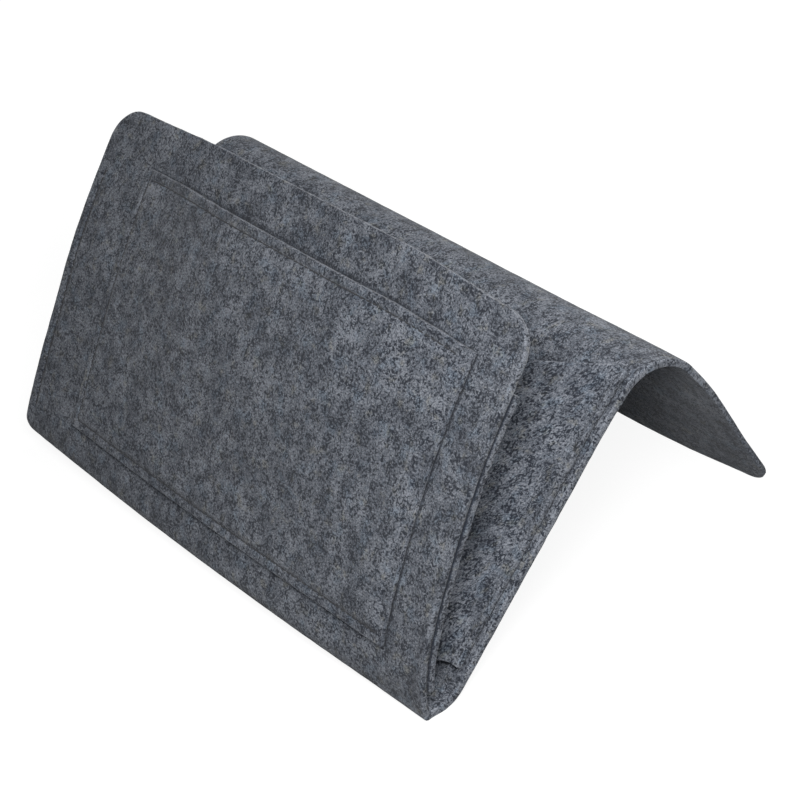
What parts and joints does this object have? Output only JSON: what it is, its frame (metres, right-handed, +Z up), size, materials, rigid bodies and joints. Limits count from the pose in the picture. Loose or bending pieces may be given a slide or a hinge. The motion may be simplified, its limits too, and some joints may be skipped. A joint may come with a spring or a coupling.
{
  "type": "bedside caddy",
  "caption": "Thick felt caddy: a long sheet folded into a tongue, a back and a front panel, with inward-folding side gussets and a stitched patch pocket, stood open like a tent.",
  "frame": {"origin": "centre of the bounding box on the floor, with the caddy standing on its bottom fold and the tongue's free end", "axes": "+X to the right as seen from the pocket side, +Y to the rear, from the pocket side to the tongue, +Z up from the floor"},
  "size_m": [0.32, 0.2152, 0.1586],
  "materials": {
    "felt_front": "matte mottled grey felt",
    "felt_back": "matte mottled grey felt",
    "felt_under": "matte mottled grey felt",
    "thread": "dark twisted sewing thread"
  },
  "bodies": {
    "back": {"back_panel": "felt_back", "left_gusset_back_flange": "felt_back", "left_gusset_back_needle_thread": "thread", "left_gusset_back_bobbin_thread": "thread", "right_gusset_back_flange": "felt_back", "right_gusset_back_needle_thread": "thread", "right_gusset_back_bobbin_thread": "thread"},
    "tongue": {"tongue": "felt_under"},
    "front": {"front_panel": "felt_front", "patch_pocket": "felt_front", "patch_seam_needle_thread": "thread", "patch_seam_bobbin_thread": "thread", "patch_hem_needle_thread": "thread", "patch_hem_bobbin_thread": "thread", "left_gusset_front_flange": "felt_back", "left_gusset_front_needle_thread": "thread", "left_gusset_front_bobbin_thread": "thread", "right_gusset_front_flange": "felt_back", "right_gusset_front_needle_thread": "thread", "right_gusset_front_bobbin_thread": "thread"},
    "left_back_leaf": {"left_gusset_back_leaf": "felt_back"},
    "left_front_leaf": {"left_gusset_front_leaf": "felt_back"},
    "right_back_leaf": {"right_gusset_back_leaf": "felt_back"},
    "right_front_leaf": {"right_gusset_front_leaf": "felt_back"}
  },
  "joints": [
    {"name": "ridge_fold", "type": "hinge", "parent": "back", "child": "tongue", "pos_m": [0, 0.04418, 0.10564], "axis": [1, 0, 0], "range_deg": [-72, 100], "stiffness_Nm_per_rad": 0.6, "springref_deg": -3.44},
    {"name": "pocket_fold", "type": "hinge", "parent": "back", "child": "front", "pos_m": [0, -0.10428, 0.00715], "axis": [1, 0, 0], "range_deg": [-17, 14], "stiffness_Nm_per_rad": 0.6, "springref_deg": 3.44},
    {"name": "left_back_bend", "type": "hinge", "parent": "back", "child": "left_back_leaf", "pos_m": [-0.14995, -0.07897, 0.01325], "axis": [0, -0.7549, -0.6558], "range_deg": [-20.5, 17]},
    {"name": "left_front_bend", "type": "hinge", "parent": "front", "child": "left_front_leaf", "pos_m": [-0.14995, -0.09959, 0.0171], "axis": [0, 0.5296, 0.8483], "range_deg": [-20.5, 17]},
    {"name": "right_back_bend", "type": "hinge", "parent": "back", "child": "right_back_leaf", "pos_m": [0.14995, -0.07897, 0.01325], "axis": [0, 0.7549, 0.6558], "range_deg": [-20.5, 17]},
    {"name": "right_front_bend", "type": "hinge", "parent": "front", "child": "right_front_leaf", "pos_m": [0.14995, -0.09959, 0.0171], "axis": [0, -0.5296, -0.8483], "range_deg": [-20.5, 17]}
  ],
  "couplings": [
    {"joint": "left_back_bend", "follows": "pocket_fold", "ratio": 1.17},
    {"joint": "left_front_bend", "follows": "pocket_fold", "ratio": 1.17},
    {"joint": "right_back_bend", "follows": "pocket_fold", "ratio": 1.17},
    {"joint": "right_front_bend", "follows": "pocket_fold", "ratio": 1.17}
  ]
}
